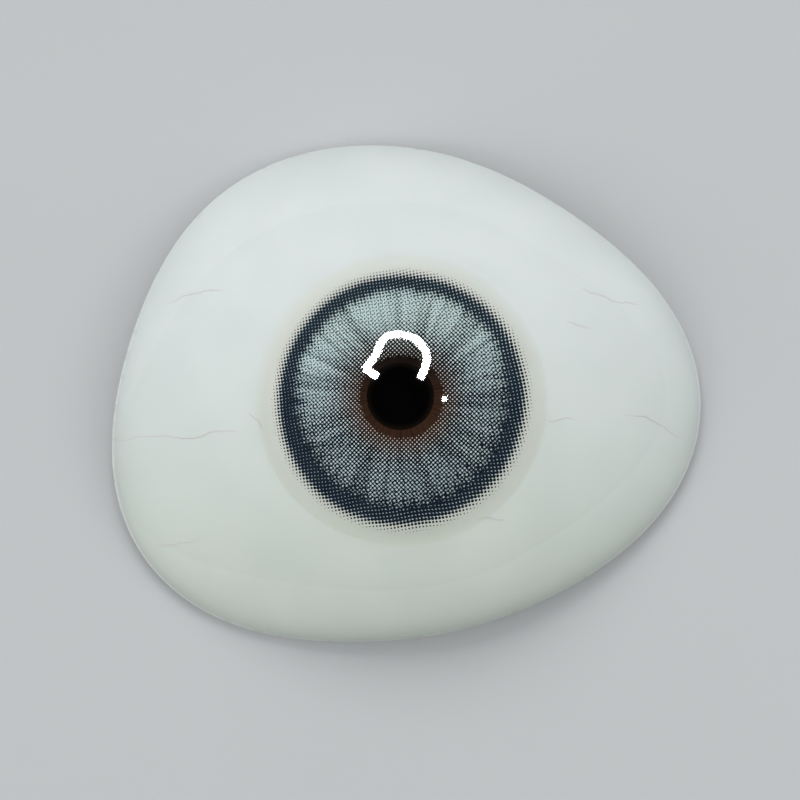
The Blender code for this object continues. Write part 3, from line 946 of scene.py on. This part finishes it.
def upper_share(x, y):
    """0 in the print's lower part and 1 in its upper, by a smooth step of the sine of the turn."""
    share = np.clip((np.sin(np.arctan2(y, x) - UPPER_TURN) - UPPER_FROM) / UPPER_SPAN, 0, 1)
    return share**2 * (3 - 2 * share)


def tone(x, y, distance_mm, low, high):
    """The cover by the lower curve, turned into the upper one by the upper share."""
    share = upper_share(x, y)
    return (1 - share) * curve_of(distance_mm, low) + share * curve_of(distance_mm, high)


def streaks(x, y, seed, counts):
    """Radial streaks between -1 and 1: cosines of the direction whose phases drift with the distance."""
    rng = np.random.default_rng(seed)
    direction = np.arctan2(y, x)
    far = np.hypot(x, y) / MM
    total = np.zeros_like(far)
    for count in counts:
        phase, drift = rng.uniform(0, 2 * math.pi), rng.uniform(-1, 1)
        total += 0.5 * np.cos(count * direction + phase + drift * far)
    return np.tanh(total)


# %% Dots as small discs
DOT_SIDES = 10
SMALLEST_COVER = 0.01
UV_SPAN = 13.6 * MM


def dot_discs(name, x, y, cover, pitch, height):
    """One disc of ten sides at each lattice point, its radius the pitch times the root of cover over pi."""
    keep = cover > SMALLEST_COVER
    x, y, cover = x[keep], y[keep], cover[keep]
    radius = pitch * np.sqrt(cover / math.pi)
    turn = np.radians(np.arange(DOT_SIDES) * 360 / DOT_SIDES)[None, :]
    rim_x = LENS_SHIFT[0] + x[:, None] + radius[:, None] * np.cos(turn)
    rim_y = LENS_SHIFT[1] + y[:, None] + radius[:, None] * np.sin(turn)
    points = above_front(rim_x, rim_y, height).reshape(-1, 3) + AXIS
    piece = add_mesh(name, points, (np.arange(len(points)).reshape(-1, DOT_SIDES),))
    flat = (points[:, :2] - AXIS[:2]) / UV_SPAN + 0.5
    piece.data.uv_layers.new(name="OFBake").uv.foreach_set("vector", flat.astype(np.float32).ravel())
    return piece


# %% [markdown]
# A tone curve is a row of stops, each a distance from the lens's axis in mm and a cover. The pale dots
# start further out above the pupil than below it, and the streaks are faint where they start.

# %% The pale dots
PALE_LOW = (
    (1.95, 0.0), (2.05, 0.11), (2.5, 0.20), (3.1, 0.315), (3.9, 0.40), (4.6, 0.42), (5.1, 0.42),
    (5.4, 0.22), (5.6, 0.0),
)
PALE_HIGH = (
    (1.95, 0.0), (2.05, 0.10), (2.5, 0.19), (3.1, 0.34), (3.9, 0.59), (4.6, 0.72), (5.2, 0.76),
    (5.5, 0.60), (5.7, 0.0),
)
PALE_SEED = 4
PALE_COUNTS = (4, 9, 15, 24, 37, 58, 91)
PALE_SWAY = ((2.0, 0.09), (3.2, 0.3))
START_SHIFT = ((2.2, 0.18), (3.4, 0.0))
x, y = lattice(PALE_PITCH, PALE_ANGLE, 5.7 * MM)
far = np.hypot(x, y) / MM
far -= y / np.hypot(x, y) * curve_of(far, START_SHIFT)
sway = streaks(x, y, PALE_SEED, PALE_COUNTS) * curve_of(far, PALE_SWAY)
cover = np.clip(tone(x, y, far, PALE_LOW, PALE_HIGH) * (1 + sway), 0, 0.95)
pale_dots = dot_discs("pale_dots", x, y, cover, PALE_PITCH, 0.105 * MM)

# %% [markdown]
# The navy ring is a trace oval and lies a little beside the lens's middle. A spike is the positive
# part of the streaks, sharpened by a power, and it moves a dot outwards along its tone curve. The
# small holes in the ring hold pale dots of their own.

# %% The navy dots
NAVY_LOW = (
    (2.3, 0.0), (2.8, 0.09), (4.2, 0.14), (4.6, 0.24), (4.9, 0.40), (5.15, 0.70), (5.4, 1.08),
    (5.55, 1.20), (5.75, 1.18), (5.93, 0.74), (6.07, 0.39), (6.2, 0.17), (6.34, 0.05), (6.42, 0.0),
)
NAVY_HIGH = (
    (2.3, 0.0), (2.8, 0.09), (4.2, 0.10), (4.8, 0.12), (5.1, 0.20), (5.35, 0.46), (5.6, 1.02),
    (5.83, 0.98), (5.97, 0.67), (6.09, 0.38), (6.22, 0.16), (6.36, 0.045), (6.43, 0.0),
)
HOLE_COVER = ((5.2, 0.0), (5.4, 0.07), (5.7, 0.10))
RING_SHIFT = (0.043, -0.006)
OVAL = 0.010
OVAL_DIRECTION = math.radians(67)
NAVY_SEED = 9
SPIKE_COUNTS = (11, 26, 43, 67, 88, 113)
SPIKE_POWER = 1.5
SPIKE_FADE = ((5.4, 1.0), (5.9, 0.0))
SPIKE_REACH = 0.38
SPIKE_LOSS = 0.16
x, y = lattice(NAVY_PITCH, NAVY_ANGLE, 6.5 * MM)
oval = 1 - OVAL * np.cos(2 * (np.arctan2(y, x) - OVAL_DIRECTION))
far = np.hypot(x / MM - RING_SHIFT[0], y / MM - RING_SHIFT[1]) * oval
spike = np.maximum(streaks(x, y, NAVY_SEED, SPIKE_COUNTS), 0) ** SPIKE_POWER * curve_of(far, SPIKE_FADE)
reach = SPIKE_REACH - SPIKE_LOSS * upper_share(x, y)
cover = np.clip(tone(x, y, far + reach * spike, NAVY_LOW, NAVY_HIGH), 0, 1.2)
navy_dots = dot_discs("navy_dots", x, y, cover, NAVY_PITCH, 0.125 * MM)
x, y = lattice(NAVY_PITCH, NAVY_ANGLE, 5.9 * MM, shift=0.5)
cover = curve_of(np.hypot(x, y) / MM, HOLE_COVER)
ring_dots = dot_discs("ring_dots", x, y, cover, NAVY_PITCH, 0.115 * MM)

# %% [markdown]
# The inks are dull pigment in gel, a grey-teal and a navy that is nearly black. Both wander a little
# from streak to streak. The navy dots cast no shadow on the white, because light that enters the
# clear layer beside such small dots spreads out under them.

# %% Inks
INK_STREAKS = 7.0
INK_TURNS_Y = (-0.5 * MM, 4.0 * MM)
INK_TURNS_MOST = 0.85
INK_TURNS_R = (2.0 * MM, 3.7 * MM)


def ink(name, middle, first, second, upper):
    """Opaque ink between two colours along radial streaks, with others near the middle and high up."""
    material, tree, where = new_material(name)
    strokes = masked(tree, FIBRES, where, INK_STREAKS, 350.0)
    clouds = masked(tree, CLOUDS, where, 900.0, 0.3)
    upwards = ease(tree, part(tree, where, "Y"), *INK_TURNS_Y, 0.0, INK_TURNS_MOST)
    outwards = ease(tree, from_axis(tree, where), *INK_TURNS_R)
    outer = blend(tree, upwards, blend(tree, strokes, first, second), upper)
    rough = ease(tree, clouds, 0.0, 1.0, 0.55, 0.7)
    return principled(material, blend(tree, outwards, middle, outer), rough, DULL)


PALE_INK = ink(
    "pale_ink", (0.66, 0.68, 0.70), (0.46, 0.60, 0.67), (0.60, 0.74, 0.785), (0.62, 0.785, 0.785)
)
NAVY_INK = ink(
    "navy_ink", (0.02, 0.02, 0.025), (0.0095, 0.0170, 0.030), (0.014, 0.024, 0.039), (0.016, 0.027, 0.042)
)
for piece, finish in ((pale_dots, PALE_INK), (ring_dots, PALE_INK), (navy_dots, NAVY_INK)):
    piece.data.materials.append(finish)
    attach(piece, "root")
navy_dots.visible_shadow = False

# %% [markdown]
# ## Camera, floor and light
#
# The camera looks straight down through a long lens. A soft box beyond the top of the picture and
# weaker ones to the left and right give the light its slope, and the room fills the rest. A bent tube
# lamp and a small lamp are there only for their mirror images in the wet cornea.

# %% Camera
CAMERA_SPOT = np.array([-0.025, -0.184, 307.5]) * MM
FOCAL_LENGTH = 274.95
camera_data = bpy.data.cameras.new("camera")
camera_data.lens = FOCAL_LENGTH
camera_data.sensor_width = 36.0
camera_data.clip_start = 0.01
camera = add_object("camera", camera_data)
camera.location = AXIS + CAMERA_SPOT
bpy.context.scene.camera = camera
bpy.context.scene.view_settings.view_transform = "Standard"
print("camera at", in_mm(camera.location), "mm, lens", FOCAL_LENGTH)

# %% Floor
FLOOR_SIZE = 4.0
FLOOR_DARK = (0.57, 0.58, 0.59)
FLOOR_PALE = (0.59, 0.60, 0.61)
corners = np.array([[-1, -1, 0], [1, -1, 0], [1, 1, 0], [-1, 1, 0]]) * FLOOR_SIZE / 2
floor = add_mesh("floor", corners, (np.arange(4)[None, :],))
material, tree, where = new_material("floor_paper")
grain = place(tree, "ShaderNodeTexNoise", {"Vector": where, "Scale": 60.0, "Detail": 2.0})
colour = blend(tree, grain.outputs["Fac"], FLOOR_DARK, FLOOR_PALE)
floor.data.materials.append(principled(material, colour, 0.9, {"Specular IOR Level": 0.1}))

# %% Lamp helpers


def towards(compass, polar):
    """Unit directions from compass and polar angles, with x, y and z on the last axis."""
    across = np.sin(polar)
    return np.stack([across * np.cos(compass), across * np.sin(compass), np.cos(polar)], axis=-1)


def facing(direction, tangent=(0.0, 1.0, 0.0)):
    """A turn whose -Z axis points along the direction and whose X axis follows the tangent."""
    back = -Vector(direction).normalized()
    across = Vector(tangent)
    across = (across - back * across.dot(back)).normalized()
    return Matrix((across, back.cross(across), back)).transposed().to_4x4()


def add_area_lamp(name, spot, aim, size, radiance):
    """A rectangular lamp of even radiance: its power is four times radiance times its area."""
    data = bpy.data.lights.new(name, "AREA")
    data.shape = "RECTANGLE"
    data.size, data.size_y = size
    data.energy = radiance * 4 * size[0] * size[1]
    lamp = add_object(name, data)
    lamp.matrix_world = aim
    lamp.location = spot
    print(name, "at", in_mm(lamp.location, 0), "mm")
    return lamp


# %% Three soft boxes
BOX_SIZE = (0.45, 0.45)
BOX_DISTANCE = 0.8
SOFT_BOXES = (("key_box", 100, 40, 2.75), ("left_box", 205, 55, 1.12), ("right_box", 345, 50, 0.8))
for name, compass, polar, radiance in SOFT_BOXES:
    direction = towards(math.radians(compass), math.radians(polar))
    box = add_area_lamp(name, BOX_DISTANCE * direction, facing(-direction), BOX_SIZE, radiance)
    box.visible_glossy = False

# %% [markdown]
# A highlight says where its lamp is. Seen from straight above, a point of a sphere leans by the arc
# sine of its distance from the axis over the radius, and the mirrored lamp stands at twice that lean
# in the same compass direction. So the bent tube is drawn as its highlight, in mm from the pupil's
# middle, and the mirror law gives the places of its joints.

# %% The bent tube lamp
TUBE_HIGHLIGHT = (
    (-1.13, 0.97), (-1.72, 1.34), (-1.47, 1.65), (-1.16, 2.09), (-0.96, 2.60), (-0.68, 2.92),
    (-0.07, 3.02), (0.42, 2.93), (0.79, 2.75), (1.20, 2.27), (1.31, 1.86), (1.20, 1.40), (0.97, 0.90),
)
LAMP_DISTANCE = 300 * MM
LAMP_RADIANCE = 40.0
TUBE_WIDTH = 27 * MM
TUBE_OVERLAP = 0.3 * TUBE_WIDTH
MIRROR_RADIUS = CORNEA_RADIUS + TEAR_FILM + LENS_THICKNESS


def mirrored_from(highlight):
    """Unit directions of the lamps behind highlights in mm: the same compass, and twice the sphere's lean."""
    x, y = np.array(highlight).T * MM
    return towards(np.arctan2(y, x), 2 * np.arcsin(np.hypot(x, y) / MIRROR_RADIUS))


joints = LAMP_DISTANCE * mirrored_from(TUBE_HIGHLIGHT)
for number, (start, end) in enumerate(zip(joints, joints[1:])):
    size = (float(np.linalg.norm(end - start)) + TUBE_OVERLAP, TUBE_WIDTH)
    aim = facing(-(start + end), end - start)
    tube = add_area_lamp(f"tube_{number + 1}", (start + end) / 2 + AXIS, aim, size, LAMP_RADIANCE)
    tube.visible_diffuse = False

# %% A small lamp
SMALL_HIGHLIGHT = (2.14, -0.13)
SMALL_SIZE = (18 * MM, 18 * MM)
direction = mirrored_from(SMALL_HIGHLIGHT)
spot = LAMP_DISTANCE * direction + AXIS
small = add_area_lamp("small_lamp", spot, facing(-direction), SMALL_SIZE, LAMP_RADIANCE)
small.visible_diffuse = False

# %% [markdown]
# A wet surface mirrors whatever is bright around it, and such a veil would take the print's contrast
# away. So mirror rays see a dim room that is dark straight overhead, where the camera stands, and
# the soft boxes are kept out of them, as a photographer flags them off.

# %% The room
ROOM_BRIGHT = 0.54
ROOM_MIRRORED = 0.12
ROOM_DARKENS_Z = (0.3, 0.9)
ROOM_COLOUR = (0.97, 0.99, 1.0, 1.0)
world = bpy.data.worlds.new("room")
bpy.context.scene.world = world
world.use_nodes = True
tree = world.node_tree
tree.nodes.clear()
sight = place(tree, "ShaderNodeTexCoord").outputs["Generated"]
dim = ease(tree, part(tree, sight, "Z"), *ROOM_DARKENS_Z, ROOM_MIRRORED, 0.0)
room = place(tree, "ShaderNodeBackground", {"Color": ROOM_COLOUR, "Strength": ROOM_BRIGHT})
mirrored = place(tree, "ShaderNodeBackground", {"Color": ROOM_COLOUR, "Strength": dim})
mirror_ray = place(tree, "ShaderNodeLightPath").outputs["Is Glossy Ray"]
seen = place(tree, "ShaderNodeMixShader", {0: mirror_ray, 1: room.outputs[0], 2: mirrored.outputs[0]})
place(tree, "ShaderNodeOutputWorld", {"Surface": seen.outputs[0]})
print("room:", ROOM_BRIGHT, "mirrored:", ROOM_MIRRORED)
